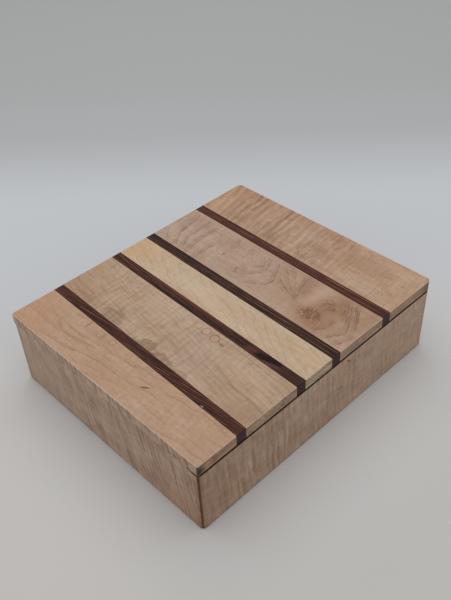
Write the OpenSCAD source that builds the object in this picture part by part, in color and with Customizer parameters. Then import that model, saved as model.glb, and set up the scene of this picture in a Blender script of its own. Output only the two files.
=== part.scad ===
// Keepsake box of curly maple with four dark strips glued into its hinged lid.
// Millimetres. +X is right along the front, the front faces -Y and +Z is up.
// The origin is the centre of the base, and the lid is shut.

/* [Box] */
// Outside width along the front
box_w = 278; // [240:1:340]
// Outside depth, front to back
box_d = 234; // [200:1:290]
// Height of the walls under the lid
wall_h = 66; // [50:1:90]
// Thickness of the walls
wall_t = 12.7; // [12:0.1:16]
// Plan radius of the four upright corners
corner_r = 4; // [2:0.5:8]
// Radius of the sanded edge round the base
base_ease = 1.2; // [0.4:0.1:1.5]

/* [Finger relief] */
// Opening between the front wall and the lid at the front face
relief_gap = 2; // [1:0.1:3]
// Flat land left along the inside edge of the front wall
relief_land = 1; // [0.5:0.1:3]

/* [Bottom] */
// Thickness of the bottom panel
panel_t = 6; // [4:0.5:8]
// Height of the panel's underside above the table
panel_z = 5; // [3:0.5:10]
// Depth of the groove in each wall
groove_d = 5; // [3:0.5:6]
// Room above the panel in the groove
groove_play = 0.2; // [0.1:0.05:0.4]
// Room for the panel to swell at each edge
swell_gap = 0.8; // [0.4:0.1:1.5]

/* [Lid] */
// Thickness of the lid
lid_t = 10; // [9:0.5:14]
// Radius of the sanded edge round the top
lid_ease = 0.7; // [0.4:0.1:1.2]
// Plan radius of the lid's two left corners, which were sanded less
lid_left_r = 1.6; // [1.4:0.1:4]
// Width of each dark strip
strip_w = 10; // [6:0.5:14]
// Width of the boards on both sides of the middle board
board_w = 54.6; // [44:0.2:64]
// Width of the light middle board
middle_w = 31.4; // [22:0.2:40]
// Offset of the middle board from the centre of the lid
stripe_shift = -7.5; // [-15:0.5:15]
// Angle of the strips to the sides, left by trimming the lid square
stripe_skew = 1.37; // [0:0.01:2]

/* [Hinges] */
// Distance of each hinge from the middle of the back
hinge_x = 58; // [50:0.5:61]
// Length of a hinge
hinge_l = 30; // [26:0.5:34]
// Length of the lid's knuckle
knuckle_l = 10; // [8:0.5:12]
// Thickness of a leaf
leaf_t = 2; // [1.6:0.1:2.4]
// Distance from the hinge line to the inner edge of a leaf
leaf_reach = 10.4; // [9.6:0.1:11]
// Radius of the barrel
barrel_r = 2.4; // [2.2:0.1:2.6]
// Distance of the hinge line behind the back of the box
axis_out = 0.4; // [0.2:0.1:0.8]
// Radius of the hinge pin
pin_r = 1.2; // [0.8:0.1:1.4]
// Radius out to the stop shoulders
stop_r = 3.8; // [3.4:0.1:4.2]
// Angle at which the stop shoulders meet
stop_angle = 95.4; // [90:0.1:110]

/* [Screws] */
// Radius of a screw's head
head_r = 2.2; // [1.8:0.1:2.5]
// Radius of a screw's shank
shank_r = 1.1; // [0.8:0.1:1.3]
// Distance of each screw from the middle of its leaf
screw_x = 8.5; // [7:0.5:11]
// Length of the screws in the back wall
wall_screw_l = 12; // [8:0.5:16]
// Length of the screws in the lid
lid_screw_l = 6.5; // [5:0.5:7]

/* [Fits] */
// Running clearance between the pin and the lid's knuckle
pin_play = 0.05; // [0.02:0.01:0.1]
// End play between neighbouring knuckles
end_play = 0.15; // [0.05:0.05:0.3]
// Clearance round the turning knuckle
turn_gap = 0.35; // [0.25:0.05:0.5]
// Clearance round a leaf in its recess
recess_gap = 0.1; // [0.05:0.05:0.2]
// Depth of a screw's head below the face of the leaf
head_sink = 0.1; // [0.05:0.05:0.3]

/* [Hidden] */
$fn = 64;
half_w = box_w / 2;
half_d = box_d / 2;
axis_y = half_d + axis_out;
half_l = hinge_l / 2;
half_k = knuckle_l / 2;
half_stop = stop_angle / 2;
plate_end = barrel_r + turn_gap;
screw_y = (leaf_reach + plate_end) / 2;
sink_h = head_r - shank_r;
slope = tan(stripe_skew);
over = 1;
// Left edge of each board and strip on the lid's centre line, left to right
edge_3 = stripe_shift - middle_w / 2;
edge_2 = edge_3 - strip_w;
edge_1 = edge_2 - board_w;
edge_0 = edge_1 - strip_w;
edge_4 = edge_3 + middle_w;
edge_5 = edge_4 + strip_w;
edge_6 = edge_5 + board_w;
edge_7 = edge_6 + strip_w;
maple = "#c9a074";
pale_maple = "#d8bd94";
dark_wood = "#4a3226";
brass = "#b89545";

// A profile in the Y-Z plane, carried along X
module along_x(x0, x1) {
    translate([x0, 0, 0])
        rotate([90, 0, 90])
            linear_extrude(height = x1 - x0)
                children();
}

// Half of an edge: r wide, h high, with its upper outer corner rounded
module eased_edge(r, h, e) {
    union() {
        square([r, h - e]);
        square([r - e, h]);
        translate([r - e, h - e])
            circle(r = e);
    }
}

// The full outline with round corners and a rounded upper edge
module eased_block(h, e, r) {
    in_w = half_w - r;
    in_d = half_d - r;
    union() {
        translate([-in_w, -in_d, 0])
            cube([2 * in_w, 2 * in_d, h]);
        for (s = [0, 180])
            rotate([0, 0, s]) {
                translate([-in_w, in_d, 0])
                    rotate([90, 0, 90])
                        linear_extrude(height = 2 * in_w)
                            eased_edge(r, h, e);
                translate([in_w, in_d, 0])
                    rotate([90, 0, 0])
                        linear_extrude(height = 2 * in_d)
                            eased_edge(r, h, e);
                translate([in_w, in_d, 0])
                    rotate_extrude(angle = 90)
                        eased_edge(r, h, e);
                translate([-in_w, in_d, 0])
                    rotate([0, 0, 90])
                        rotate_extrude(angle = 90)
                            eased_edge(r, h, e);
            }
    }
}

// One mitred wall: its plan, less the groove for the bottom panel
module wall(plan) {
    groove_w = box_w - 2 * (wall_t - groove_d);
    groove_l = box_d - 2 * (wall_t - groove_d);
    difference() {
        intersection() {
            translate([0, 0, wall_h])
                mirror([0, 0, 1])
                    eased_block(wall_h, base_ease, corner_r);
            translate([0, 0, -over])
                linear_extrude(height = wall_h + 2 * over)
                    polygon(plan);
        }
        translate([-groove_w / 2, -groove_l / 2, panel_z])
            cube([groove_w, groove_l, panel_t + groove_play]);
    }
}

// Planed off the front wall and the ends of the side walls after gluing up
module finger_relief() {
    run = wall_t - relief_land;
    fall = relief_gap * (run + over) / run;
    along_x(-half_w - over, half_w + over)
        polygon([
            [run - half_d, wall_h],
            [-half_d - over, wall_h - fall],
            [-half_d - over, wall_h + over],
            [run - half_d, wall_h + over]
        ]);
}

module front_wall() {
    color(maple)
        difference() {
            wall([
                [-half_w, -half_d],
                [half_w, -half_d],
                [half_w - wall_t, wall_t - half_d],
                [wall_t - half_w, wall_t - half_d]
            ]);
            finger_relief();
        }
}

module back_wall() {
    color(maple)
        difference() {
            wall([
                [half_w, half_d],
                [-half_w, half_d],
                [wall_t - half_w, half_d - wall_t],
                [half_w - wall_t, half_d - wall_t]
            ]);
            at_hinges()
                hinge_recess(wall_screw_l);
        }
}

module side_wall() {
    difference() {
        wall([
            [-half_w, half_d],
            [-half_w, -half_d],
            [wall_t - half_w, wall_t - half_d],
            [wall_t - half_w, half_d - wall_t]
        ]);
        finger_relief();
    }
}

module left_wall() {
    color(maple)
        side_wall();
}

module right_wall() {
    color(maple)
        mirror([1, 0, 0])
            side_wall();
}

module bottom_panel() {
    reach = groove_d - swell_gap - wall_t;
    color(pale_maple)
        translate([-half_w - reach, -half_d - reach, panel_z])
            cube([box_w + 2 * reach, box_d + 2 * reach, panel_t]);
}

// The lid between two glue lines, given where they cross its centre line
module lid_piece(x0, x1, r = corner_r) {
    y = half_d + over;
    shift = slope * y;
    difference() {
        intersection() {
            translate([0, 0, wall_h])
                eased_block(lid_t, lid_ease, r);
            translate([0, 0, wall_h - over])
                linear_extrude(height = lid_t + 2 * over)
                    polygon([[x0 - shift, -y], [x1 - shift, -y], [x1 + shift, y], [x0 + shift, y]]);
        }
        at_hinges()
            mirror([0, 0, 1])
                hinge_recess(lid_screw_l);
    }
}

module lid_board_1() {
    color(maple)
        lid_piece(-box_w, edge_0, lid_left_r);
}

module lid_strip_1() {
    color(dark_wood)
        lid_piece(edge_0, edge_1);
}

module lid_board_2() {
    color(maple)
        lid_piece(edge_1, edge_2);
}

module lid_strip_2() {
    color(dark_wood)
        lid_piece(edge_2, edge_3);
}

module lid_board_3() {
    color(pale_maple)
        lid_piece(edge_3, edge_4);
}

module lid_strip_3() {
    color(dark_wood)
        lid_piece(edge_4, edge_5);
}

module lid_board_4() {
    color(maple)
        lid_piece(edge_5, edge_6);
}

module lid_strip_4() {
    color(dark_wood)
        lid_piece(edge_6, edge_7);
}

module lid_board_5() {
    color(maple)
        lid_piece(edge_7, box_w);
}

// Puts its children on the line of the left and the right hinge
module at_hinge(side) {
    translate([side * hinge_x, axis_y, wall_h])
        children();
}

module at_hinges() {
    for (side = [-1, 1])
        at_hinge(side)
            children();
}

// Puts its children at the two screws of a leaf
module at_screws() {
    for (x = [-screw_x, screw_x])
        translate([x, -screw_y, 0])
            children();
}

// The room cut in the wood for one leaf, half the barrel and the screws
module hinge_recess(screw_l) {
    deep = leaf_reach + recess_gap;
    nest = barrel_r + turn_gap;
    end = half_l + recess_gap;
    along_x(-end, end)
        polygon([
            [-deep, -leaf_t],
            [-nest, -leaf_t],
            [-nest, -nest],
            [over, -nest],
            [over, over],
            [-deep, over]
        ]);
    at_screws()
        translate([0, 0, -head_sink - screw_l])
            screw_body(screw_l);
}

// The shoulder behind the barrel that ends the lid's travel
module stop_shoulder() {
    out = stop_r * cos(half_stop);
    polygon([
        [0, 0],
        [out, -stop_r * sin(half_stop)],
        [0.55 * out, -stop_r],
        [0, -stop_r]
    ]);
}

// A leaf lying under the hinge line, with knuckles between each pair of x values
module leaf(knuckles, bore) {
    difference() {
        union() {
            translate([-half_l, -leaf_reach, -leaf_t])
                cube([hinge_l, leaf_reach - plate_end, leaf_t]);
            for (k = knuckles)
                along_x(k[0], k[1])
                    union() {
                        translate([-plate_end, -leaf_t])
                            square([plate_end, leaf_t]);
                        circle(r = barrel_r);
                        stop_shoulder();
                    }
            children();
        }
        along_x(-half_l - over, half_l + over)
            circle(r = bore);
        at_screws() {
            translate([0, 0, -leaf_t - over])
                cylinder(r = shank_r, h = leaf_t + 2 * over);
            translate([0, 0, -sink_h])
                cylinder(r1 = shank_r, r2 = head_r, h = sink_h);
        }
    }
}

// Two end knuckles, joined behind the lid's knuckle by the bar it stops on
module wall_leaf() {
    inner = half_k + end_play;
    leaf([[-half_l, -inner], [inner, half_l]], pin_r)
        along_x(-inner, inner)
            difference() {
                stop_shoulder();
                circle(r = barrel_r + turn_gap);
            }
}

module lid_leaf() {
    mirror([0, 0, 1])
        leaf([[-half_k, half_k]], pin_r + pin_play);
}

module pin() {
    along_x(-half_l, half_l)
        circle(r = pin_r);
}

module left_hinge_wall_leaf() {
    color(brass)
        at_hinge(-1)
            wall_leaf();
}

module left_hinge_lid_leaf() {
    color(brass)
        at_hinge(-1)
            lid_leaf();
}

module left_hinge_pin() {
    color(brass)
        at_hinge(-1)
            pin();
}

module right_hinge_wall_leaf() {
    color(brass)
        at_hinge(1)
            wall_leaf();
}

module right_hinge_lid_leaf() {
    color(brass)
        at_hinge(1)
            lid_leaf();
}

module right_hinge_pin() {
    color(brass)
        at_hinge(1)
            pin();
}

// A countersunk screw standing on its point, with a plain shank for its thread
module screw_body(l) {
    tip = 1.5 * shank_r;
    top_r = head_r - head_sink;
    rotate_extrude()
        polygon([
            [0, 0],
            [shank_r, tip],
            [shank_r, l - (top_r - shank_r)],
            [top_r, l],
            [0, l]
        ]);
}

module screw(l) {
    slot = head_r / 4;
    translate([0, 0, -head_sink - l])
        difference() {
            screw_body(l);
            translate([-head_r, -slot / 2, l - slot])
                cube([2 * head_r, slot, slot + over]);
        }
}

module wall_leaf_screws() {
    color(brass)
        at_hinges()
            at_screws()
                screw(wall_screw_l);
}

module lid_leaf_screws() {
    color(brass)
        at_hinges()
            mirror([0, 0, 1])
                at_screws()
                    screw(lid_screw_l);
}

front_wall();
back_wall();
left_wall();
right_wall();
bottom_panel();
lid_board_1();
lid_strip_1();
lid_board_2();
lid_strip_2();
lid_board_3();
lid_strip_3();
lid_board_4();
lid_strip_4();
lid_board_5();
left_hinge_wall_leaf();
left_hinge_lid_leaf();
left_hinge_pin();
right_hinge_wall_leaf();
right_hinge_lid_leaf();
right_hinge_pin();
wall_leaf_screws();
lid_leaf_screws();
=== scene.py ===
import math

import bpy
from mathutils import Euler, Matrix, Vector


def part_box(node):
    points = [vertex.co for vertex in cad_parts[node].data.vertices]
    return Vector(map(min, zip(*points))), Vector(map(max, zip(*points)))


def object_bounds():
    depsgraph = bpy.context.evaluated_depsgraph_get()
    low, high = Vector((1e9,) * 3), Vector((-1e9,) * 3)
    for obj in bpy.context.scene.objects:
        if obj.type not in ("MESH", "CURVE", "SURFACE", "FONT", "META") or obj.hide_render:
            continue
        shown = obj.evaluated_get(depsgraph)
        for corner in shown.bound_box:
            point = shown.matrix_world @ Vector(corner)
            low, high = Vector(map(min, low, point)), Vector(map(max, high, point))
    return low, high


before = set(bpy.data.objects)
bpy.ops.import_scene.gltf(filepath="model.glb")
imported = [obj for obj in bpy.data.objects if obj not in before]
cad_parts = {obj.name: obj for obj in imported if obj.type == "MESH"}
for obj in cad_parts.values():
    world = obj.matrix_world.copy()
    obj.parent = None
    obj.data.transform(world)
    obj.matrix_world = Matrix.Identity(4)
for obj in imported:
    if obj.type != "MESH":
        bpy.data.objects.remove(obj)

# The solids' own box before anything is dressed.
cad_box = [list(corner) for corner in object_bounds()]

# Camera. It stands off the front left corner and looks down on the lid, as the photograph does.
# Place, turn and lens were solved from the box's own edges in an upright frame of 451 by 600.
camera_data = bpy.data.cameras.new("camera")
camera_data.sensor_fit = "VERTICAL"
camera_data.sensor_height = 36
camera_data.lens = 45.813
camera = bpy.data.objects.new("camera", camera_data)
camera.location = (-0.3372, -0.3742, 0.4998)
camera.rotation_euler = [math.radians(angle) for angle in (49.597, 2.491, -44.379)]
bpy.context.scene.collection.objects.link(camera)
bpy.context.scene.camera = camera


# Bottom panel. A plain maple panel that floats in grooves in the four walls, with room to swell.
# It is planed and oiled but never polished, and its grain runs along the box.
def tone(code):
    """A colour written as it looks, #rrggbb, as the linear values that a shader takes."""
    parts = [int(code[i:i + 2], 16) / 255 for i in (1, 3, 5)]
    return [p / 12.92 if p <= 0.04045 else ((p + 0.055) / 1.055) ** 2.4 for p in parts] + [1]


def add(tree, kind, inputs, **settings):
    """Adds a shader node and gives its outputs. An input is a plain value, or the output that feeds it."""
    made = tree.nodes.new(kind)
    for name, value in settings.items():
        setattr(made, name, value)
    for socket, value in inputs.items():
        if isinstance(value, bpy.types.NodeSocket):
            tree.links.new(value, made.inputs[socket])
        else:
            made.inputs[socket].default_value = value
    return made.outputs


def calc(tree, operation, *terms):
    """One sum of the Math node."""
    return add(tree, "ShaderNodeMath", dict(enumerate(terms)), operation=operation)[0]


def vector(tree, operation, *terms):
    """One sum of the Vector Math node that gives a vector."""
    return add(tree, "ShaderNodeVectorMath", dict(enumerate(terms)), operation=operation)[0]


def length(tree, value):
    """How long a vector is."""
    return add(tree, "ShaderNodeVectorMath", {0: value}, operation="LENGTH")["Value"]


def split(tree, value):
    """The three parts of a vector."""
    return add(tree, "ShaderNodeSeparateXYZ", {0: value})


def soft_step(tree, value, low, high):
    """Rises smoothly from 0 at low to 1 at high, or falls where high is the smaller one."""
    inputs = {"Value": value, "From Min": low, "From Max": high}
    return add(tree, "ShaderNodeMapRange", inputs, interpolation_type="SMOOTHSTEP")[0]


def hump(tree, value, low, top, high):
    """Rises from 0 at low to 1 at top, and falls to 0 again at high."""
    return calc(tree, "MULTIPLY", soft_step(tree, value, low, top), soft_step(tree, value, high, top))


def mottle(tree, place, sizes, seed, detail=2.0):
    """Noise whose patches have these sizes, in metres, along the three axes of place."""
    close = vector(tree, "MULTIPLY", place, [1 / size for size in sizes])
    inputs = {"Vector": close, "W": seed, "Scale": 1.0, "Detail": detail}
    return add(tree, "ShaderNodeTexNoise", inputs, noise_dimensions="4D")[0]


def swing(tree, place, sizes, seed, detail=2.0):
    """The same noise, swinging about zero."""
    return calc(tree, "SUBTRACT", mottle(tree, place, sizes, seed, detail), 0.5)


def lottery(tree, number):
    """A random value for each whole number."""
    return add(tree, "ShaderNodeTexWhiteNoise", {"W": number}, noise_dimensions="1D")[0]


def tinted(tree, share, under, over):
    """The colour over, laid on the colour under by share."""
    return add(tree, "ShaderNodeMix", {0: share, 6: under, 7: over}, data_type="RGBA")[2]


def lit(tree, colour, light):
    """A colour made lighter or darker."""
    return add(tree, "ShaderNodeVectorMath", {0: colour, "Scale": light}, operation="SCALE")[0]


def new_group(name, inputs, outputs):
    """An empty shader group with named sockets, and its two end nodes."""
    tree = bpy.data.node_groups.new(name, "ShaderNodeTree")
    for way, sockets in (("INPUT", inputs), ("OUTPUT", outputs)):
        for socket, kind in sockets.items():
            tree.interface.new_socket(name=socket, in_out=way, socket_type="NodeSocket" + kind)
    return tree, tree.nodes.new("NodeGroupInput").outputs, tree.nodes.new("NodeGroupOutput").inputs


# What the figure of a wood puts out
FIGURE = {"Colour": "Color", "Roughness": "Float", "Height": "Float"}


def maple_figure():
    """Growth rings round a pith line, cross curl, fibres and rays, all as one solid block of wood.
    Place runs along the grain, across the board and through it."""
    numbers = (
        "Seed", "Pith Across", "Pith Below", "Taper", "Ring Gap", "Ring Sway", "Ring Jag", "Ring Width",
        "Ring Mark", "Curl", "Curl Gap", "Curl Slant", "Curl Lean", "Curl Wander", "Curl Short", "Curl Gone",
        "Curl Full", "Side Curl", "Hatch", "Crease", "Fibre", "Shimmer", "Across Cut", "Side Cut",
    )
    sockets = {"Place": "Vector", "Pale": "Color", "Warm": "Color", "Brown": "Color"}
    sockets.update({name: "Float" for name in numbers})
    tree, given, result = new_group("maple figure", sockets, FIGURE)
    place, seed = given["Place"], given["Seed"]
    along, across, through = split(tree, place)
    end, side_cut = given["Across Cut"], given["Side Cut"]

    # Curl: waves of the fibres that wander, swell, break off and come back, with finer ones between them
    wander = swing(tree, place, (0.045, 0.026, 0.026), seed)
    crossing = calc(tree, "MULTIPLY_ADD", across, given["Curl Slant"], along)
    crossing = calc(tree, "MULTIPLY_ADD", through, given["Curl Lean"], crossing)
    crossing = calc(tree, "DIVIDE", crossing, given["Curl Gap"])
    crossing = calc(tree, "MULTIPLY_ADD", wander, given["Curl Wander"], crossing)
    odd = lottery(tree, calc(tree, "ADD", calc(tree, "FLOOR", crossing), seed))
    wave = hump(tree, calc(tree, "FRACT", crossing), 0.0, 0.5, 1.0)
    wave = calc(tree, "MULTIPLY", wave, calc(tree, "MULTIPLY_ADD", odd, 0.6, 0.4))
    lasting = soft_step(tree, mottle(tree, place, (0.022, 0.015, 0.015), seed), 0.36, 0.60)
    wave = calc(tree, "MULTIPLY", wave, calc(tree, "MULTIPLY_ADD", lasting, 0.7, 0.4))
    short = calc(tree, "DIVIDE", given["Curl Short"], 0.016)

    def bands(times):
        """Noise in irregular bands across the grain, about this many to each wave."""
        stretched = {
            0: calc(tree, "MULTIPLY", crossing, 1.6 * times),
            1: calc(tree, "MULTIPLY", across, short),
            2: calc(tree, "MULTIPLY", through, short),
        }
        stretched = add(tree, "ShaderNodeCombineXYZ", stretched)[0]
        return mottle(tree, stretched, (1, 1, 1), seed)

    flame, ripple = bands(1.3), bands(2.7)
    curl = calc(tree, "MULTIPLY", soft_step(tree, flame, 0.36, 0.66), 0.5)
    curl = soft_step(tree, calc(tree, "MULTIPLY_ADD", wave, 0.65, curl), 0.15, 1.0)
    kept = soft_step(tree, along, given["Curl Gone"], given["Curl Full"])
    strong = calc(tree, "MULTIPLY", kept, given["Curl"])
    strong = calc(tree, "MULTIPLY_ADD", side_cut, given["Side Curl"], strong)
    curl = calc(tree, "MULTIPLY", curl, strong)
    hatch = calc(tree, "MULTIPLY", soft_step(tree, ripple, 0.36, 0.66), given["Hatch"])
    hatch = calc(tree, "MULTIPLY", hatch, calc(tree, "MULTIPLY_ADD", kept, 0.6, 0.4))

    # Creases: the thin dark lines at the edges of the bands, broken into short lengths
    crease = soft_step(tree, calc(tree, "ABSOLUTE", calc(tree, "SUBTRACT", flame, 0.5)), 0.030, 0.0)
    small = soft_step(tree, calc(tree, "ABSOLUTE", calc(tree, "SUBTRACT", ripple, 0.5)), 0.040, 0.0)
    crease = calc(tree, "MULTIPLY_ADD", small, 0.6, crease)
    broken = soft_step(tree, mottle(tree, place, (0.010, 0.010, 0.010), seed), 0.45, 0.58)
    crease = calc(tree, "MULTIPLY", calc(tree, "MULTIPLY", crease, broken), given["Crease"])

    # Growth rings: lines at even gaps round the pith, bent by a slow sway and by small jags
    side = calc(tree, "SUBTRACT", across, given["Pith Across"])
    depth = calc(tree, "ADD", through, given["Pith Below"])
    reach = calc(tree, "SQRT", calc(tree, "MULTIPLY_ADD", side, side, calc(tree, "MULTIPLY", depth, depth)))
    reach = calc(tree, "MULTIPLY_ADD", along, given["Taper"], reach)
    sway = swing(tree, place, (0.075, 0.030, 0.030), seed)
    reach = calc(tree, "MULTIPLY_ADD", sway, given["Ring Sway"], reach)
    jag = swing(tree, place, (0.0055, 0.012, 0.012), seed)
    reach = calc(tree, "MULTIPLY_ADD", jag, given["Ring Jag"], reach)
    count = calc(tree, "DIVIDE", reach, given["Ring Gap"])
    odd = lottery(tree, calc(tree, "FLOOR", count))
    to_line = calc(tree, "SUBTRACT", 1.0, calc(tree, "FRACT", count))
    to_line = calc(tree, "MULTIPLY", to_line, given["Ring Gap"])
    ring = hump(tree, to_line, 0.0, 0.0003, given["Ring Width"])
    ring = calc(tree, "MAXIMUM", ring, calc(tree, "MULTIPLY", soft_step(tree, to_line, 0.006, 0.0004), 0.25))
    faint = soft_step(tree, mottle(tree, place, (0.040, 0.016, 0.016), seed), 0.30, 0.58)
    ring = calc(tree, "MULTIPLY", ring, calc(tree, "MULTIPLY_ADD", odd, 0.75, 0.25))
    ring = calc(tree, "MULTIPLY", calc(tree, "MULTIPLY", ring, given["Ring Mark"]), faint)

    # Fibres drawn out along the grain, the short dark dashes of the rays, and a soft shimmer and speckle
    fibre = swing(tree, place, (0.045, 0.0010, 0.0010), seed, 3.0)
    ray = soft_step(tree, mottle(tree, place, (0.0022, 0.0007, 0.0007), seed), 0.56, 0.72)
    shimmer = swing(tree, place, (0.012, 0.0028, 0.0028), seed, 4.0)
    speckle = swing(tree, place, (0.0035, 0.0013, 0.0013), seed, 1.0)

    # Colour: two body tones, the brown of rings and waves, and light and dark fibres
    drawn = soft_step(tree, mottle(tree, place, (0.06, 0.018, 0.018), seed), 0.34, 0.66)
    colour = tinted(tree, drawn, given["Pale"], given["Warm"])
    colour = tinted(tree, ring, colour, given["Brown"])
    colour = tinted(tree, calc(tree, "ADD", calc(tree, "ADD", curl, hatch), crease), colour, given["Brown"])
    light = calc(tree, "MULTIPLY_ADD", fibre, given["Fibre"], 1.05)
    light = calc(tree, "MULTIPLY_ADD", shimmer, given["Shimmer"], light)
    light = calc(tree, "MULTIPLY_ADD", speckle, calc(tree, "MULTIPLY_ADD", end, 0.7, 0.32), light)
    light = calc(tree, "MULTIPLY_ADD", ray, -0.16, light)

    # Cut ends show their layers and are darker, most of all where an end rounds into a side
    layers = swing(tree, place, (0.5, 0.03, 0.0020), seed)
    light = calc(tree, "MULTIPLY_ADD", calc(tree, "MULTIPLY", layers, end), 2.0, light)
    torn = calc(tree, "MULTIPLY_ADD", calc(tree, "MULTIPLY", end, side_cut), -0.75, 1.0)
    light = calc(tree, "MULTIPLY", light, calc(tree, "MULTIPLY_ADD", end, -0.25, torn))
    tree.links.new(lit(tree, colour, light), result["Colour"])
    rough = calc(tree, "MULTIPLY_ADD", fibre, 0.25, 0.48)
    tree.links.new(calc(tree, "MULTIPLY_ADD", end, 0.12, rough), result["Roughness"])
    height = calc(tree, "MULTIPLY_ADD", curl, -0.5, calc(tree, "MULTIPLY", fibre, 0.35))
    tree.links.new(calc(tree, "MULTIPLY_ADD", ray, -0.3, height), result["Height"])
    return tree


def wood(name, group, centre, turn, values, marks=(), shine=0.3):
    """A wood finish. The grain runs along the first axis of a frame turned and centred on the piece,
    and marks are knots, stains, painted shade and highlights and the like, placed in the box's own frame and
    laid on in order."""
    finish = bpy.data.materials.new(name)
    finish.use_nodes = True
    tree = finish.node_tree
    shader = tree.nodes["Principled BSDF"]
    where = add(tree, "ShaderNodeTexCoord", {})
    turned = [math.radians(angle) for angle in turn]
    board = {"Vector": where["Object"], "Location": centre, "Rotation": turned}
    given = {**values, "Place": add(tree, "ShaderNodeMapping", board, vector_type="TEXTURE")[0]}
    axes = Euler(turned).to_matrix()
    for socket, axis in (("Across Cut", axes.col[0]), ("Side Cut", axes.col[1])):
        facing = {0: where["Normal"], 1: list(axis)}
        facing = add(tree, "ShaderNodeVectorMath", facing, operation="DOT_PRODUCT")["Value"]
        given[socket] = soft_step(tree, calc(tree, "ABSOLUTE", facing), 0.3, 0.95)
    figure = add(tree, "ShaderNodeGroup", given, node_tree=group)
    colour = figure["Colour"]
    for kind, mark in marks:
        laid = {**mark, "Colour": colour, "Place": where["Object"], "Facing": where["Normal"]}
        colour = add(tree, "ShaderNodeGroup", laid, node_tree=kind)["Colour"]
    tree.links.new(colour, shader.inputs["Base Color"])
    tree.links.new(figure["Roughness"], shader.inputs["Roughness"])
    shader.inputs["Specular IOR Level"].default_value = shine
    bump = {"Height": figure["Height"], "Strength": 0.25, "Distance": 0.0003}
    tree.links.new(add(tree, "ShaderNodeBump", bump)[0], shader.inputs["Normal"])
    return finish


def dress(node, finish):
    """Gives a solid its finish."""
    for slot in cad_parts[node].material_slots:
        slot.material = finish


def middle(node):
    """The centre of a solid's own box."""
    low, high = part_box(node)
    return [(a + b) / 2 for a, b in zip(low, high)]


MAPLE = maple_figure()
# Gaps, widths and places in metres, and strengths as shares. Later boards give only what differs.
plain_maple = {
    "Pale": tone("#c8ad8a"), "Warm": tone("#bf9f7a"), "Brown": tone("#8d6a48"), "Seed": 11.0,
    "Pith Across": 0.02, "Pith Below": 0.09, "Taper": 0.03, "Ring Gap": 0.007, "Ring Sway": 0.012,
    "Ring Jag": 0.002, "Ring Width": 0.0016, "Ring Mark": 0.4, "Curl": 0.15, "Curl Gap": 0.009,
    "Curl Slant": 0.1, "Curl Lean": 0.0, "Curl Wander": 1.6, "Curl Short": 1.0, "Curl Gone": -2.0,
    "Curl Full": -1.0, "Side Curl": 0.0, "Hatch": 0.1, "Crease": 0.0, "Fibre": 0.22, "Shimmer": 0.25,
}
dress("bottom_panel", wood("bottom maple", MAPLE, middle("bottom_panel"), (0, 0, 0), plain_maple))


# Walls. Four boards of curly maple, mitred and glued at the corners and then rounded over by sanding.
# The curl crosses each board upright. The front's top is planed to a slope that lets a finger lift the lid.
half_wide = cad_box[1][0]
half_deep = -cad_box[0][1]
finger_gap = 0.002
lip_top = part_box("front_wall")[1][2] - finger_gap
# What every mark takes: the colour under it, the place, and the way the surface faces
MARK = {"Colour": "Color", "Place": "Vector", "Facing": "Vector"}


def mitre_mark():
    """The brown glue line on the 45-degree plane through each corner, and the darker wood beside it."""
    tree, given, result = new_group("mitre mark", {**MARK, "Offset": "Float"}, {"Colour": "Color"})
    x, y = split(tree, vector(tree, "ABSOLUTE", given["Place"]))[:2]
    off = calc(tree, "SUBTRACT", calc(tree, "SUBTRACT", x, y), given["Offset"])
    off = calc(tree, "ABSOLUTE", off)
    fray = mottle(tree, given["Place"], (0.003, 0.003, 0.006), 7.0)
    frayed = calc(tree, "MULTIPLY_ADD", fray, -0.0012, off)
    soak_reach = 0.009
    line_reach = 0.0014
    soaked = calc(tree, "MULTIPLY", soft_step(tree, frayed, soak_reach, 0.0), 0.34)
    colour = tinted(tree, soaked, given["Colour"], tone("#7a4c38"))
    line = calc(tree, "MULTIPLY", soft_step(tree, frayed, line_reach, 0.0), 0.85)
    tree.links.new(tinted(tree, line, colour, tone("#4e2e1c")), result["Colour"])
    return tree


def slope_shade_mark():
    """Painted shade: the sloping top of the front is darkened for the shadow in the gap under the lid,
    most along its outer edge and at its ends, and the lip of the front face just under it is as dark."""
    tree, given, result = new_group("slope mark", MARK, {"Colour": "Color"})
    upward = split(tree, given["Facing"])[2]
    sloping = soft_step(tree, upward, 0.95, 0.97)
    sloping = calc(tree, "MULTIPLY", sloping, soft_step(tree, upward, 0.998, 0.992))
    x, y, z = split(tree, vector(tree, "ABSOLUTE", given["Place"]))
    front_edge = soft_step(tree, y, half_deep - 0.0065, half_deep - 0.0025)
    side_edge = soft_step(tree, x, half_wide - 0.0050, half_wide - 0.0010)
    outer = calc(tree, "MAXIMUM", front_edge, side_edge)
    share = calc(tree, "MULTIPLY", sloping, calc(tree, "MULTIPLY_ADD", outer, 0.75, 0.2))
    forward = split(tree, given["Place"])[1]
    on_front = soft_step(tree, forward, 0.0015 - half_deep, 0.0002 - half_deep)
    lip = calc(tree, "MULTIPLY", on_front, soft_step(tree, z, lip_top - 0.0010, lip_top))
    share = calc(tree, "MAXIMUM", share, calc(tree, "MULTIPLY", lip, 0.8))
    tree.links.new(tinted(tree, share, given["Colour"], tone("#30180a")), result["Colour"])
    return tree


def foot_shade_mark():
    """Painted shade: the eased bottom edge, darkened for the contact shadow where the box stands."""
    tree, given, result = new_group("foot mark", MARK, {"Colour": "Color"})
    height = split(tree, given["Place"])[2]
    share = calc(tree, "MULTIPLY", soft_step(tree, height, 0.0022, 0.0003), 0.65)
    tree.links.new(tinted(tree, share, given["Colour"], tone("#33241b")), result["Colour"])
    return tree


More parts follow.
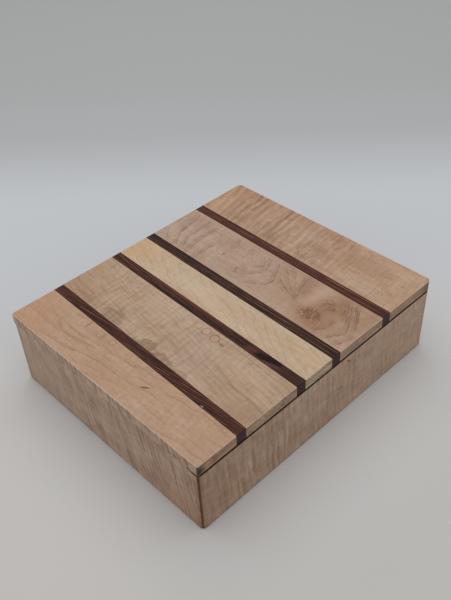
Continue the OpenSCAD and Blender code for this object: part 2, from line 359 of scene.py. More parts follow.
def patch_mark():
    """A stain, a fleck or a painted shadow: a ragged oval of this size, turned on the board, which may have
    a deeper rim.
    """
    sockets = {**MARK, "Centre": "Vector", "Turn": "Vector", "Size": "Vector", "Softness": "Float",
               "Ragged": "Float", "Rim": "Float", "Strength": "Float", "Tint": "Color"}
    tree, given, result = new_group("patch mark", sockets, {"Colour": "Color"})
    local = {"Vector": vector(tree, "SUBTRACT", given["Place"], given["Centre"]), "Rotation": given["Turn"]}
    local = add(tree, "ShaderNodeVectorRotate", local, rotation_type="EULER_XYZ", invert=True)[0]
    far = length(tree, vector(tree, "DIVIDE", local, given["Size"]))
    ragged = swing(tree, given["Place"], (0.006, 0.006, 0.006), 3.0, 4.0)
    far = calc(tree, "MULTIPLY_ADD", ragged, given["Ragged"], far)
    outer = calc(tree, "ADD", 1.0, given["Softness"])
    inner = calc(tree, "SUBTRACT", 1.0, given["Softness"])
    inside = soft_step(tree, far, outer, inner)
    rim = calc(tree, "MULTIPLY", inside, calc(tree, "SUBTRACT", 4.0, calc(tree, "MULTIPLY", inside, 4.0)))
    rim = calc(tree, "MULTIPLY", rim, given["Rim"])
    share = calc(tree, "MULTIPLY_ADD", inside, given["Strength"], rim)
    tree.links.new(tinted(tree, share, given["Colour"], given["Tint"]), result["Colour"])
    return tree


MITRE = mitre_mark()
SLOPE_SHADE = slope_shade_mark()
FOOT_SHADE = foot_shade_mark()
PATCH = patch_mark()


def patch(centre, size, tint, strength, turn=(0, 0, 0), softness=0.35, rim=0.0, ragged=1.3):
    """A stain, a fleck or a painted shadow, in millimetres and degrees."""
    return PATCH, {
        "Centre": [c / 1000 for c in centre], "Size": [s / 2000 for s in size], "Strength": strength,
        "Turn": [math.radians(t) for t in turn], "Softness": softness, "Rim": rim, "Ragged": ragged,
        "Tint": tone(tint),
    }


wall_maple = {**plain_maple, "Pale": tone("#b79f8a"), "Warm": tone("#af937d"), "Brown": tone("#6f5443"),
              "Pith Across": -0.09, "Pith Below": 0.05, "Taper": 0.02, "Ring Gap": 0.006,
              "Ring Sway": 0.012, "Ring Mark": 0.2, "Hatch": 0.16, "Fibre": 0.3, "Curl Wander": 1.1,
              "Curl Short": 0.45, "Crease": 0.28, "Shimmer": 0.4}
# The two faces that show, in millimetres, as marks are placed
front_face = -1000 * half_deep
left_face = -1000 * half_wide
wall_figures = {
    "front_wall": {
        "Seed": 2.0, "Curl": 0.42, "Curl Gap": 0.0066, "Curl Slant": 0.05, "Curl Wander": 1.0,
        "Curl Short": 0.6, "Curl Gone": 0.25, "Curl Full": -0.11, "Hatch": 0.26, "Shimmer": 0.6,
    },
    "back_wall": {
        "Seed": 3.3, "Curl": 0.45, "Curl Gap": 0.0078, "Curl Slant": -0.1,
    },
    "left_wall": {
        "Seed": 4.7, "Curl": 0.52, "Curl Gap": 0.0050, "Curl Slant": -0.22, "Curl Wander": 0.9,
        "Curl Short": 0.6, "Hatch": 0.24, "Crease": 0.4,
    },
    "right_wall": {
        "Seed": 5.9, "Curl": 0.55, "Curl Gap": 0.0082, "Curl Slant": 0.3,
    },
}
wall_turns = {"front_wall": (90, 0, 0), "back_wall": (90, 0, 180),
              "left_wall": (90, 0, 90), "right_wall": (90, 0, 90)}
# Flecks and stains in each wall, and a painted shadow under the lid on the left wall
wall_marks = {
    "front_wall": [
        patch((27, front_face, 58), (5, 3, 1.6), "#4f382a", 0.75, (0, 40, 0)),
        patch((-38, front_face, 34), (2.5, 3, 1.5), "#57402f", 0.6),
        patch((19, front_face, 32), (5, 3, 4), "#7d5b45", 0.55),
        patch((-125, front_face, 20), (50, 9, 70), "#8a634c", 0.24, softness=0.8),
        patch((-95, front_face, 52), (110, 6, 30), "#7d604c", 0.22, softness=0.8),
        patch((-40, front_face, 4), (200, 6, 24), "#8f6650", 0.20, softness=0.8),
    ],
    "left_wall": [
        patch((left_face, -95, 12), (9, 70, 40), "#ab7c64", 0.30, softness=0.8),
        patch((left_face, 82, 40), (9, 130, 110), "#d8c3ae", 0.16, softness=0.8),
        patch((left_face, 96, 16), (9, 60, 56), "#aa907d", 0.34, softness=0.8),
        # Painted shadow: the dark line under the lid at the front end of the left wall, where the finger gap
        # opens
        patch((left_face, -108.6, 65.1), (5, 13, 1.4), "#321d10", 0.65, (8.9, 0, 0),
              softness=0.5, ragged=0.4),
    ],
}
mitre = (MITRE, {"Offset": half_wide - half_deep})
# Painted shade in the finger gap under the lid, on the sloping front top and the lip below it
slope = (SLOPE_SHADE, {})
# Painted shade along the bottom edge: the contact shadow where the box stands
foot_shade = (FOOT_SHADE, {})
for name, figure in wall_figures.items():
    marks = wall_marks.get(name, []) + [mitre, slope, foot_shade]
    finish = wood(name.replace("_", " ") + " maple", MAPLE, middle(name), wall_turns[name],
                  {**wall_maple, **figure}, marks, shine=0.1)
    dress(name, finish)


# Lid boards. Five maple boards from different planks, edge-glued with the dark strips between them.
# The panel was trimmed a little out of square, so the grain runs at a small angle to the lid's sides.
def eye_mark():
    """A bird's eye: a small brown ring with a curled heart."""
    sockets = {**MARK, "Centre": "Vector", "Radius": "Float", "Strength": "Float", "Tint": "Color"}
    tree, given, result = new_group("eye mark", sockets, {"Colour": "Color"})
    far = length(tree, vector(tree, "SUBTRACT", given["Place"], given["Centre"]))
    far = calc(tree, "MULTIPLY_ADD", swing(tree, given["Place"], (0.003, 0.003, 0.003), 5.0), 0.0024, far)
    far = calc(tree, "DIVIDE", far, given["Radius"])
    rim = hump(tree, far, 0.66, 0.95, 1.30)
    heart = hump(tree, far, 0.15, 0.34, 0.58)
    pale = calc(tree, "MULTIPLY", soft_step(tree, far, 1.1, 0.8), given["Strength"])
    colour = tinted(tree, calc(tree, "MULTIPLY", pale, 0.6), given["Colour"], tone("#d0b49a"))
    share = calc(tree, "MULTIPLY", calc(tree, "MULTIPLY_ADD", heart, 0.7, rim), given["Strength"])
    tree.links.new(tinted(tree, share, colour, given["Tint"]), result["Colour"])
    return tree


def knot_mark():
    """A small burr knot: a brown glow with wormy dark curls that crowd towards its heart."""
    sockets = {**MARK, "Centre": "Vector", "Size": "Vector", "Strength": "Float", "Glow": "Color",
               "Tint": "Color"}
    tree, given, result = new_group("knot mark", sockets, {"Colour": "Color"})
    place = given["Place"]
    far = vector(tree, "DIVIDE", vector(tree, "SUBTRACT", place, given["Centre"]), given["Size"])
    ragged = swing(tree, place, (0.009, 0.009, 0.009), 5.0, 3.0)
    far = calc(tree, "MULTIPLY_ADD", ragged, 1.5, length(tree, far))
    heart = calc(tree, "MULTIPLY", soft_step(tree, far, 1.25, 0.6), given["Strength"])
    curls = calc(tree, "ABSOLUTE", swing(tree, place, (0.0034, 0.0060, 0.0050), 8.0, 1.5))
    worm = calc(tree, "MULTIPLY", calc(tree, "MULTIPLY", soft_step(tree, curls, 0.09, 0.01), heart), 0.9)
    bright = calc(tree, "MULTIPLY", calc(tree, "MULTIPLY", soft_step(tree, curls, 0.10, 0.17), heart), 0.55)
    glow = soft_step(tree, far, 2.2, 0.4)
    glow = calc(tree, "MULTIPLY", glow, calc(tree, "MULTIPLY", given["Strength"], 0.75))
    colour = tinted(tree, glow, given["Colour"], given["Glow"])
    colour = tinted(tree, worm, colour, given["Tint"])
    tree.links.new(tinted(tree, bright, colour, tone("#c9a683")), result["Colour"])
    return tree


def arch_mark():
    """A growth-ring line and a fainter one behind it, where the saw cut nearly flat along the rings.
    They turn at the centre, and their two sides leave it by these slopes and end this far left and right."""
    sockets = {**MARK, "Centre": "Vector", "Left Slope": "Float", "Right Slope": "Float", "Round": "Float",
               "Left": "Float", "Right": "Float", "Strength": "Float", "Tint": "Color"}
    tree, given, result = new_group("arch mark", sockets, {"Colour": "Color"})
    place, blunt = given["Place"], given["Round"]
    x, y = split(tree, vector(tree, "SUBTRACT", place, given["Centre"]))[:2]
    even = calc(tree, "MULTIPLY", calc(tree, "ADD", given["Left Slope"], given["Right Slope"]), 0.5)
    lean = calc(tree, "MULTIPLY", calc(tree, "SUBTRACT", given["Right Slope"], given["Left Slope"]), 0.5)
    bend = calc(tree, "SQRT", calc(tree, "MULTIPLY_ADD", x, x, calc(tree, "MULTIPLY", blunt, blunt)))
    rise = calc(tree, "MULTIPLY", calc(tree, "SUBTRACT", bend, blunt), even)
    rise = calc(tree, "MULTIPLY_ADD", x, lean, rise)
    slope = calc(tree, "MULTIPLY_ADD", calc(tree, "DIVIDE", x, bend), even, lean)
    steep = calc(tree, "SQRT", calc(tree, "MULTIPLY_ADD", slope, slope, 1.0))
    off = calc(tree, "DIVIDE", calc(tree, "SUBTRACT", y, rise), steep)
    off = calc(tree, "MULTIPLY_ADD", swing(tree, place, (0.005, 0.005, 0.005), 4.0, 3.0), 0.0045, off)
    line = soft_step(tree, calc(tree, "ABSOLUTE", off), 0.0009, 0.0001)
    second_gap = 0.0032
    second = calc(tree, "ABSOLUTE", calc(tree, "SUBTRACT", off, second_gap))
    second = calc(tree, "MULTIPLY", soft_step(tree, second, 0.0008, 0.0001), 0.4)
    flank = calc(tree, "MULTIPLY", hump(tree, off, -0.0005, 0.0004, 0.0050), 0.35)
    line = calc(tree, "MAXIMUM", calc(tree, "MAXIMUM", line, second), flank)
    faint = soft_step(tree, mottle(tree, place, (0.007, 0.007, 0.007), 2.0), 0.30, 0.62)
    line = calc(tree, "MULTIPLY", line, calc(tree, "MULTIPLY_ADD", faint, 0.65, 0.35))
    fade = 0.006
    left_end = soft_step(tree, x, given["Left"], calc(tree, "ADD", given["Left"], fade))
    right_end = soft_step(tree, x, given["Right"], calc(tree, "SUBTRACT", given["Right"], fade))
    ends = calc(tree, "MULTIPLY", left_end, right_end)
    share = calc(tree, "MULTIPLY", line, calc(tree, "MULTIPLY", ends, given["Strength"]))
    tree.links.new(tinted(tree, share, given["Colour"], given["Tint"]), result["Colour"])
    return tree


def halo_mark():
    """Fine growth lines that bend round a knot on its near side, and fade away from it."""
    sockets = {**MARK, "Centre": "Vector", "Gap": "Float", "Strength": "Float", "Tint": "Color"}
    tree, given, result = new_group("halo mark", sockets, {"Colour": "Color"})
    place = given["Place"]
    local = vector(tree, "SUBTRACT", place, given["Centre"])
    forward = split(tree, local)[1]
    ragged = swing(tree, place, (0.008, 0.008, 0.008), 6.0, 3.0)
    far = calc(tree, "MULTIPLY_ADD", ragged, 0.006, length(tree, local))
    phase = calc(tree, "DIVIDE", far, given["Gap"])
    line = hump(tree, calc(tree, "FRACT", phase), 0.0, 0.3, 0.85)
    line = calc(tree, "MULTIPLY", line, lottery(tree, calc(tree, "FLOOR", phase)))
    shown = hump(tree, far, 0.014, 0.020, 0.050)
    shown = calc(tree, "MULTIPLY", shown, soft_step(tree, forward, 0.006, -0.008))
    broken = soft_step(tree, mottle(tree, place, (0.009, 0.009, 0.009), 7.0), 0.34, 0.60)
    share = calc(tree, "MULTIPLY", line, shown)
    share = calc(tree, "MULTIPLY", share, calc(tree, "MULTIPLY", broken, given["Strength"]))
    tree.links.new(tinted(tree, share, given["Colour"], given["Tint"]), result["Colour"])
    return tree


def rib_mark():
    """Broad soft ribs across a board, deeper in colour towards its outer side."""
    sockets = {**MARK, "Gap": "Float", "Inner": "Float", "Outer": "Float", "Front": "Float", "Back": "Float",
               "Strength": "Float", "Tint": "Color"}
    tree, given, result = new_group("rib mark", sockets, {"Colour": "Color"})
    place = given["Place"]
    x, y = split(tree, place)[:2]
    bent = calc(tree, "MULTIPLY_ADD", swing(tree, place, (0.030, 0.022, 0.030), 3.0), 0.012, y)
    phase = calc(tree, "DIVIDE", calc(tree, "MULTIPLY_ADD", x, -0.14, bent), given["Gap"])
    rib = hump(tree, calc(tree, "FRACT", phase), 0.0, 0.6, 1.0)
    odd = lottery(tree, calc(tree, "FLOOR", phase))
    rib = calc(tree, "MULTIPLY", rib, calc(tree, "MULTIPLY_ADD", odd, 0.6, 0.4))
    shown = calc(tree, "MULTIPLY", soft_step(tree, x, given["Inner"], given["Outer"]),
                 soft_step(tree, y, given["Front"], given["Back"]))
    broken = soft_step(tree, mottle(tree, place, (0.014, 0.010, 0.014), 5.0), 0.30, 0.58)
    share = calc(tree, "MULTIPLY", rib, shown)
    share = calc(tree, "MULTIPLY", share, calc(tree, "MULTIPLY", broken, given["Strength"]))
    tree.links.new(tinted(tree, share, given["Colour"], given["Tint"]), result["Colour"])
    return tree


def worn_and_lit_arris_mark():
    """The eased top edge of the lid, paler: partly worn by sanding and hands, partly a painted highlight of
    the light it catches.
    """
    tree, given, result = new_group("rubbed mark", MARK, {"Colour": "Color"})
    upward = split(tree, given["Facing"])[2]
    share = calc(tree, "MULTIPLY", hump(tree, upward, 0.15, 0.60, 0.97), 0.75)
    tree.links.new(tinted(tree, share, given["Colour"], tone("#e2cdb8")), result["Colour"])
    return tree


EYE = eye_mark()
KNOT = knot_mark()
ARCH = arch_mark()
HALO = halo_mark()
RIB = rib_mark()
WORN_AND_LIT_ARRIS = worn_and_lit_arris_mark()
# The lid's top, in millimetres
lid_top = 1000 * cad_box[1][2]


def on_lid(x, y):
    """A place on the lid's top in metres, from millimetres."""
    return x / 1000, y / 1000, lid_top / 1000


def lid_patch(x, y, size, tint, strength, turn=0, **edge):
    """A stain or fleck on the lid's top, in millimetres and degrees."""
    return patch((x, y, lid_top), size, tint, strength, (0, 0, turn), **edge)


def eye(x, y, radius, strength):
    """A bird's eye on the lid's top, in millimetres."""
    return EYE, {
        "Centre": on_lid(x, y), "Radius": radius / 1000, "Strength": strength, "Tint": tone("#7d4b2c"),
    }


def knot(x, y, size, strength):
    """A burr knot in the lid's top, in millimetres."""
    return KNOT, {
        "Centre": on_lid(x, y), "Size": [s / 1000 for s in size], "Strength": strength,
        "Glow": tone("#8c6142"), "Tint": tone("#663f25"),
    }


def arch(x, y, slopes, blunt, ends, strength):
    """A growth-ring line on the lid's top that turns at x, y, in millimetres."""
    return ARCH, {
        "Centre": on_lid(x, y), "Left Slope": slopes[0], "Right Slope": slopes[1], "Round": blunt / 1000,
        "Left": ends[0] / 1000, "Right": ends[1] / 1000, "Strength": strength, "Tint": tone("#6c472f"),
    }


# The glue lines lie this many degrees off square
lid_skew = 1.37
lid_turn = (0, 0, 90 - lid_skew)
# Pale, warm and brown tones of each board
lid_tones = {
    "lid_board_1": ("#b19279", "#ad8b71", "#714a34"),
    "lid_board_2": ("#b2977e", "#a98d73", "#6b4d38"),
    "lid_board_3": ("#bca68c", "#b79e81", "#8a6a4a"),
    "lid_board_4": ("#af9682", "#a88b75", "#5f4434"),
    "lid_board_5": ("#b59880", "#af8d71", "#6b4a34"),
}
lid_figures = {
    "lid_board_1": {
        "Seed": 20.0, "Pith Across": -0.12, "Pith Below": 0.04, "Taper": -0.12, "Ring Gap": 0.0085,
        "Ring Sway": 0.030, "Ring Jag": 0.0035, "Ring Width": 0.0022, "Ring Mark": 0.42, "Curl": 0.08,
        "Curl Gap": 0.0062, "Curl Slant": 0.2, "Curl Lean": -0.27, "Side Curl": 1.7, "Hatch": 0.05,
        "Crease": 0.12, "Shimmer": 0.5,
    },
    "lid_board_2": {
        "Seed": 23.0, "Pith Across": 0.10, "Pith Below": 0.03, "Taper": -0.13, "Ring Gap": 0.0044,
        "Ring Sway": 0.022, "Ring Jag": 0.0016, "Ring Width": 0.0034, "Ring Mark": 0.45, "Curl": 0.30,
        "Curl Gap": 0.0060, "Curl Slant": 0.05, "Curl Wander": 1.4, "Curl Gone": -0.11,
        "Curl Full": -0.01, "Hatch": 0.08, "Crease": 0.28, "Curl Short": 0.6, "Fibre": 0.45,
        "Shimmer": 0.5,
    },
    "lid_board_3": {
        "Seed": 26.0, "Pith Across": -0.04, "Pith Below": 0.03, "Taper": 0.30, "Ring Gap": 0.0046,
        "Ring Sway": 0.026, "Ring Jag": 0.0025, "Ring Mark": 0.42, "Shimmer": 0.4, "Curl": 0.08,
        "Curl Gap": 0.008, "Hatch": 0.05,
    },
    "lid_board_4": {
        "Seed": 29.0, "Pith Across": 0.003, "Pith Below": 0.006, "Ring Mark": 0.0, "Curl": 0.12,
        "Curl Gap": 0.010, "Curl Slant": 0.2, "Curl Gone": 0.0, "Curl Full": 0.06, "Hatch": 0.14,
        "Crease": 0.22, "Shimmer": 0.5,
    },
    "lid_board_5": {
        "Seed": 32.0, "Pith Across": -0.10, "Pith Below": 0.03, "Taper": 0.02, "Ring Gap": 0.007,
        "Ring Sway": 0.012, "Ring Mark": 0.25, "Curl": 0.34, "Curl Gap": 0.0070, "Curl Slant": 0.14,
        "Curl Wander": 1.0, "Curl Short": 0.5, "Curl Gone": -0.10, "Curl Full": 0.04, "Hatch": 0.30,
        "Crease": 0.34, "Shimmer": 0.5,
    },
}
# Bird's eyes, flecks, stains, growth-ring lines and knots in each board
lid_marks = {
    "lid_board_1": [
        eye(-102.3, 39.8, 3.2, 0.40),
        eye(-101.5, 24, 2.8, 0.60),
        lid_patch(-101, 56.5, (9, 2, 2), "#7a5540", 0.55, 4, softness=0.5),
        lid_patch(-103, 35.5, (11, 2.2, 2), "#7f5a42", 0.45, 2, softness=0.5),
        lid_patch(-117.5, 74.5, (2.2, 13, 3), "#86624b", 0.40, -26, softness=0.6, ragged=0.8),
        lid_patch(-120.3, 61, (2.2, 24, 3), "#86624b", 0.40, softness=0.6, ragged=0.8),
        lid_patch(-117.3, 42, (2.2, 26, 3), "#86624b", 0.42, 9, softness=0.6, ragged=0.8),
        lid_patch(-115.5, -33.1, (8.5, 1.8, 2), "#5a3b29", 0.85, -56),
        lid_patch(-130, 110, (60, 50, 8), "#b5835c", 0.3, softness=0.8),
        lid_patch(-104, 38, (10, 44, 6), "#94704e", 0.28, softness=0.8),
        lid_patch(-118, -107, (34, 24, 6), "#96694a", 0.22, softness=0.8),
        patch((left_face, 0, 71), (3, 250, 14), "#c9b7a5", 0.30, softness=0.6),
        patch((-122, -117.5, 71), (7, 3, 9), "#6d5140", 0.5),
        patch((-139.5, -112.5, 71.5), (3, 8, 8), "#cdb9a6", 0.4),
        patch((-138.5, -117.6, 70), (12, 3.2, 10), "#33200f", 0.95, softness=0.5, ragged=0.3),
    ],
    "lid_board_2": [
        lid_patch(-83, 50, (18, 23, 6), "#77603c", 0.32, 3, softness=0.25, rim=0.15, ragged=1.0),
        lid_patch(-76, 46, (2.2, 42, 6), "#6d5434", 0.36, 2, softness=0.5, ragged=1.0),
        lid_patch(-82, 82, (11, 7, 6), "#7a5f40", 0.34, 10, softness=0.4, rim=0.1, ragged=1.2),
        lid_patch(-80.5, 95, (2.2, 20, 6), "#7a5f38", 0.34, 4, softness=0.5, ragged=1.0),
        lid_patch(-88, 1, (16, 17, 6), "#64482b", 0.36, 14, softness=0.3, rim=0.3, ragged=2.2),
        lid_patch(-89, -19, (13, 20, 6), "#6b4d2f", 0.24, -4, softness=0.3, rim=0.4, ragged=2.2),
        lid_patch(-89.5, -43, (10, 12, 6), "#745436", 0.18, softness=0.3, rim=0.35, ragged=2.2),
        lid_patch(-77, 103, (36, 44, 6), "#a0744f", 0.38, softness=0.8),
        lid_patch(-46, 28, (30, 46, 6), "#c4ac95", 0.38, softness=0.8),
        lid_patch(-58, -38, (50, 46, 6), "#b9a797", 0.22, softness=0.8),
        lid_patch(-87, -108, (24, 28, 6), "#7d5c40", 0.34, softness=0.8),
        lid_patch(-41, -111, (16, 16, 6), "#80603f", 0.24, softness=0.8),
        lid_patch(-45, 114, (30, 14, 6), "#b3825c", 0.25, softness=0.8),
        eye(-39.2, -12, 3.6, 0.35),
        eye(-39.9, -22, 3.8, 0.55),
        eye(-41.5, -33.2, 3.8, 0.65),
        lid_patch(-43.3, -41.8, (2.3, 6.5, 2), "#6f5136", 0.7),
        lid_patch(-41, -51, (6, 8, 2), "#b8804f", 0.3, softness=0.6),
    ],
    "lid_board_3": [
        lid_patch(-5, 112, (34, 40, 6), "#c2915f", 0.4, softness=0.8),
        lid_patch(-8, -108, (16, 22, 5), "#c4946a", 0.12, softness=0.8),
    ],
    "lid_board_4": [
        lid_patch(48, -8, (80, 110, 9), "#8f6a50", 0.17, softness=0.8),
        lid_patch(60, 45, (13, 6, 2), "#6e4f3c", 0.16, 8, softness=0.4, rim=0.2, ragged=1.6),
        lid_patch(43, 43, (3, 4, 2), "#6e4f3c", 0.45, -20),
        lid_patch(34.5, 19, (8, 3, 2), "#6b4c3a", 0.40, 20, softness=0.5),
        lid_patch(62, 26, (10, 5, 2), "#6b4c3a", 0.12, 40, softness=0.4, rim=0.25, ragged=1.6),
        lid_patch(46, 100, (10, 4, 2), "#7b5740", 0.4, 8, softness=0.5),
        lid_patch(48, -82, (70, 90, 9), "#9c6f4b", 0.36, softness=0.8),
        lid_patch(59, -45, (30, 12, 6), "#7b5740", 0.32, 17, softness=0.5),
        lid_patch(63, -16, (20, 18, 6), "#8a664c", 0.24, softness=0.7),
        lid_patch(57, -61, (30, 14, 6), "#bba693", 0.40, softness=0.7),
        lid_patch(42, -80, (60, 26, 6), "#8a6146", 0.40, softness=0.7),
        lid_patch(26, -79, (18, 10, 6), "#a8764f", 0.22, softness=0.7),
        lid_patch(66, -78, (14, 9, 6), "#a8764f", 0.20, softness=0.7),
        lid_patch(62, -112, (22, 12, 6), "#8a6243", 0.32, softness=0.8),
        (HALO, {"Centre": on_lid(42, -72), "Gap": 0.0027, "Strength": 0.6, "Tint": tone("#74502f")}),
        lid_patch(40, 16, (9, 10, 4), "#94694a", 0.30, -30, softness=0.4),
        arch(31, 107, (-1.0, 1.0), 1, (-9, 9), 0.55),
        arch(38, 97.5, (-0.8, 0.17), 4, (-17, 36), 0.75),
        arch(41, 86.8, (-0.5, 0.03), 5, (-18, 32), 0.6),
        arch(31, 78.2, (-0.3, 0.04), 3, (-9, 30), 0.4),
        arch(31, 74, (-0.5, 0.06), 3, (-7, 38), 0.65),
        arch(30, 60.8, (-0.1, -0.08), 4, (-12, 30), 0.6),
        arch(45, 13, (-0.5, 1.7), 2, (-1, 6), 0.7),
        arch(53.5, 3.4, (1.05, 0.85), 2, (-9.5, 13), 0.8),
        arch(49.5, -2.7, (0.85, 0.5), 3, (-18, 19), 0.8),
        arch(40, -17, (1.5, 0.62), 5, (-17, 30), 0.75),
        arch(42, -39, (-3.2, 2.1), 2, (-6, 15), 0.65),
        arch(47, -36.5, (-1.6, 1.1), 3, (-11, 22), 0.55),
        arch(52, -36.7, (-1.0, 0.8), 3, (-14, 20), 0.48),
        arch(46, -45, (-0.72, 0.28), 3, (-10, 24), 0.6),
        arch(31, -90.5, (0.75, 0.35), 8, (-14, 12), 0.7),
        arch(48, -92.5, (0.0, 0.62), 3, (-3, 19), 0.7),
        arch(42, -99.5, (0.0, 0.62), 4, (-2, 27), 0.8),
        arch(34, -105, (0.85, 0.66), 7, (-18, 36), 0.85),
        arch(40, -109.5, (0.2, 0.64), 4, (-3, 31), 0.75),
        arch(33, -113, (0.6, 0.62), 8, (-17, 36), 0.8),
        knot(32.8, -70.5, (7.8, 10.5, 8), 0.85),
        knot(51, -75.5, (6.2, 8.5, 8), 0.65),
    ],
    "lid_board_5": [
        lid_patch(107, -9.8, (1.4, 3.2, 2), "#4d3526", 0.7),
        lid_patch(125, 36, (5, 9, 2), "#6f4d36", 0.35, rim=0.2),
        lid_patch(134, 40, (12, 160, 8), "#b27a4c", 0.16, softness=0.8),
        lid_patch(110, 107, (60, 28, 6), "#c49d7e", 0.42, softness=0.8),
        lid_patch(112, 30, (22, 70, 6), "#c0a791", 0.28, softness=0.8),
        lid_patch(118, -68, (20, 46, 6), "#8b6346", 0.28, softness=0.4, rim=0.1, ragged=1.0),
        lid_patch(125, -26, (16, 10, 3), "#8b6346", 0.15, softness=0.3, rim=0.3, ragged=1.0),
        (RIB, {"Gap": 0.0086, "Inner": 0.080, "Outer": 0.114, "Front": -0.075, "Back": 0.01,
               "Strength": 0.75, "Tint": tone("#8a5c3a")}),
        patch((136, front_face, 71), (16, 5, 12), "#50362f", 0.6, softness=0.6),
    ],
}
# Paler eased top edge of the lid: partly wear, partly a painted highlight
worn_and_lit_arris = (WORN_AND_LIT_ARRIS, {})
for name, figure in lid_figures.items():
    tones = dict(zip(("Pale", "Warm", "Brown"), map(tone, lid_tones[name])))
    dress(name, wood(name.replace("_", " ") + " maple", MAPLE, middle(name), lid_turn,
                     {**plain_maple, **tones, **figure}, lid_marks[name] + [worn_and_lit_arris]))


# Lid strips. Four strips of a dark open-pored wood, as thick as the lid and about as wide.
# Their straight grain shows as fine dark and reddish lines, and their ends are nearly black.
def strip_figure():
    """Straight dark and red lines with open pores, as one solid block of wood."""
    sockets = {"Place": "Vector", "Dark": "Color", "Red": "Color", "Seed": "Float", "Gap": "Float",
               "Across Cut": "Float", "Side Cut": "Float"}
    tree, given, result = new_group("strip figure", sockets, FIGURE)
    place, seed = given["Place"], given["Seed"]
    across, through = split(tree, place)[1:]
    bent = swing(tree, place, (0.07, 0.004, 0.004), seed, 1.0)
    layer = calc(tree, "MULTIPLY_ADD", bent, 0.003, calc(tree, "MULTIPLY_ADD", through, 0.5, across))
    count = calc(tree, "DIVIDE", layer, given["Gap"])
    odd = lottery(tree, calc(tree, "ADD", calc(tree, "FLOOR", count), seed))
    line = hump(tree, calc(tree, "FRACT", count), 0.15, 0.5, 0.85)
    line = calc(tree, "MULTIPLY", line, calc(tree, "MULTIPLY_ADD", odd, 0.9, 0.22))
    broken = soft_step(tree, mottle(tree, place, (0.011, 0.0014, 0.0014), seed), 0.36, 0.60)
    line = calc(tree, "MULTIPLY", line, calc(tree, "MULTIPLY_ADD", broken, 0.7, 0.3))
    fine = mottle(tree, place, (0.05, 0.0007, 0.0007), seed, 2.0)
    line = calc(tree, "MULTIPLY_ADD", soft_step(tree, fine, 0.40, 0.62), 0.26, line)
    pore = soft_step(tree, mottle(tree, place, (0.006, 0.0005, 0.0005), seed), 0.58, 0.70)
    colour = tinted(tree, line, given["Dark"], given["Red"])
    colour = tinted(tree, calc(tree, "MULTIPLY", given["Across Cut"], 0.55), colour, tone("#4b4040"))
    light = calc(tree, "MULTIPLY_ADD", pore, -0.35, 1.02)
    light = calc(tree, "MULTIPLY", light, calc(tree, "MULTIPLY_ADD", given["Across Cut"], -0.30, 1.0))
    tree.links.new(lit(tree, colour, light), result["Colour"])
    tree.links.new(calc(tree, "MULTIPLY_ADD", fine, 0.2, 0.45), result["Roughness"])
    height = calc(tree, "MULTIPLY_ADD", pore, -0.6, calc(tree, "MULTIPLY", fine, 0.3))
    tree.links.new(height, result["Height"])
    return tree


STRIP = strip_figure()
# Each strip's dark and red tones, the gap between its lines, and the lean of its grain in degrees
strip_woods = {
    "lid_strip_1": ("#200c06", "#7a4e3e", 0.0019, 6),
    "lid_strip_2": ("#1a0a05", "#764a3b", 0.0021, -2),
    "lid_strip_3": ("#180a05", "#6a4638", 0.0023, 2),
    "lid_strip_4": ("#2a1209", "#7c4f3e", 0.0023, 1),
}
# A dark mark and a small pale speck on the first strip, and the lighter and darker streaks of the second
# strip
strip_marks = {
    "lid_strip_1": [
        lid_patch(-99, -73, (1.8, 8, 2), "#120a08", 0.8),
        lid_patch(-98.4, -78.9, (1.0, 2.2, 2), "#b09a86", 0.7),
    ],
    "lid_strip_2": [
        lid_patch(-24.2, 10, (2.2, 140, 5), "#6b3f30", 0.6, -0.6, softness=0.4, ragged=0.6),
        lid_patch(-30.8, 0, (3.4, 150, 5), "#130b0a", 0.6, -0.6, softness=0.5, ragged=0.6),
        lid_patch(-29.2, -80.5, (5.6, 28, 4), "#120b0a", 0.9, 10),
        lid_patch(-30, -63.5, (6, 12, 4), "#5f3c30", 0.45, 10),
        lid_patch(-32.4, -87, (2.8, 18, 4), "#5f4238", 0.5, 8),
    ],
}
for number, (name, (dark, red, gap, lean)) in enumerate(strip_woods.items()):
    values = {"Dark": tone(dark), "Red": tone(red), "Seed": 40.0 + number, "Gap": gap}
    turn = (0, 0, 90 - lid_skew + lean)
    finish = wood(name.replace("_", " ") + " wood", STRIP, middle(name), turn, values,
                  strip_marks.get(name, ()), shine=0.1)
    dress(name, finish)


# Hinges and screws. Two small drawn-brass butt hinges let in flush, with countersunk brass screws.
# The brass has dulled a little in patches, and fine lines from the drawing run along it.
def brass_finish(name, colour, rough):
    """Bare brass of this colour, dulled in patches. Rough is how rough it is where it is brightest."""
    finish = bpy.data.materials.new(name)
    finish.use_nodes = True
    tree = finish.node_tree
    shader = tree.nodes["Principled BSDF"]
    where = add(tree, "ShaderNodeTexCoord", {})["Object"]
    dull = mottle(tree, where, (0.004, 0.004, 0.004), 1.0, 4.0)
    drawn = mottle(tree, where, (0.02, 0.0003, 0.0003), 2.0, 2.0)
    base = tinted(tree, soft_step(tree, dull, 0.4, 0.75), tone(colour), tone("#8f7748"))
    tree.links.new(base, shader.inputs["Base Color"])
    shader.inputs["Metallic"].default_value = 1.0
    tree.links.new(calc(tree, "MULTIPLY_ADD", dull, 0.25, rough), shader.inputs["Roughness"])
    bump = {"Height": drawn, "Strength": 0.1, "Distance": 0.00005}
    tree.links.new(add(tree, "ShaderNodeBump", bump)[0], shader.inputs["Normal"])
    return finish


leaf_brass = brass_finish("leaf brass", "#cdb684", 0.25)
pin_brass = brass_finish("pin brass", "#bfa674", 0.28)
screw_brass = brass_finish("screw brass", "#c9b07c", 0.22)
for side in ("left", "right"):
    dress(f"{side}_hinge_wall_leaf", leaf_brass)
    dress(f"{side}_hinge_lid_leaf", leaf_brass)
    dress(f"{side}_hinge_pin", pin_brass)
dress("wall_leaf_screws", screw_brass)
dress("lid_leaf_screws", screw_brass)
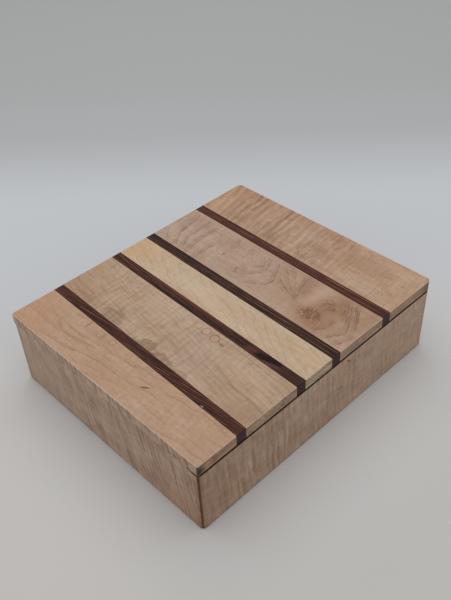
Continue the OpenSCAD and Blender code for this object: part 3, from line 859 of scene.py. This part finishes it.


# Floor and light. A pale paper sweep, warm in front and cooler towards the back, with painted shade that
# makes it greyer far behind the box, under a nearly even soft light with one broad lamp overhead, a little
# behind the box.
bpy.ops.object.select_all(action="DESELECT")
bpy.ops.mesh.primitive_plane_add(size=8)
floor = bpy.context.object
floor.name = "floor"
paper = bpy.data.materials.new("pale paper")
paper.use_nodes = True
tree = paper.node_tree
shader = tree.nodes["Principled BSDF"]
x, y = split(tree, add(tree, "ShaderNodeTexCoord", {})["Object"])[:2]

# The camera looks along the floor's diagonal, so the paper's colours change back along it and across it
diagonal = math.sqrt(0.5)
back = calc(tree, "MULTIPLY", calc(tree, "ADD", x, y), diagonal)
right = calc(tree, "MULTIPLY", calc(tree, "SUBTRACT", x, y), diagonal)
colour = tinted(tree, soft_step(tree, right, -0.14, 0.0), tone("#c6c2bf"), tone("#c1bfbc"))
colour = tinted(tree, soft_step(tree, back, -0.10, 0.14), colour, tone("#c3c6ca"))

# Painted light: the paper is made a little paler round the two sides of the box that face the camera, which
# weakens the box's shadow there
near = add(tree, "ShaderNodeCombineXYZ", {0: x, 1: y})[0]
near = vector(tree, "DIVIDE", near, (half_wide, half_deep, 1.0))
before = calc(tree, "MAXIMUM", soft_step(tree, y, 0.0, -0.12), soft_step(tree, x, -0.134, -0.146))
near = calc(tree, "MULTIPLY", soft_step(tree, length(tree, near), 2.2, 1.1), before)
colour = tinted(tree, near, colour, tone("#cac9c8"))

# Painted shade: far behind the box the paper darkens to grey, standing in for the light falling off there
colour = tinted(tree, soft_step(tree, back, 0.26, 0.46), colour, tone("#adafb1"))
colour = tinted(tree, soft_step(tree, back, 0.45, 0.62), colour, tone("#aaabab"))
tree.links.new(colour, shader.inputs["Base Color"])
shader.inputs["Roughness"].default_value = 0.9
shader.inputs["Specular IOR Level"].default_value = 0.1
floor.data.materials.append(paper)

lamp_data = bpy.data.lights.new("overhead lamp", "AREA")
lamp_data.shape = "RECTANGLE"
lamp_data.size = 1.6
lamp_data.size_y = 1.6
lamp_data.energy = 7
lamp = bpy.data.objects.new("overhead lamp", lamp_data)
lamp.location = (0.15, 0.25, 1.4)
lamp.rotation_euler = (math.radians(-10), math.radians(6), 0)
bpy.context.scene.collection.objects.link(lamp)

world = bpy.data.worlds.new("soft room")
world.use_nodes = True
room = world.node_tree.nodes["Background"]
room.inputs["Color"].default_value = (1.0, 1.0, 1.0, 1)
room.inputs["Strength"].default_value = 0.7
bpy.context.scene.world = world
bpy.context.scene.view_settings.view_transform = "Standard"
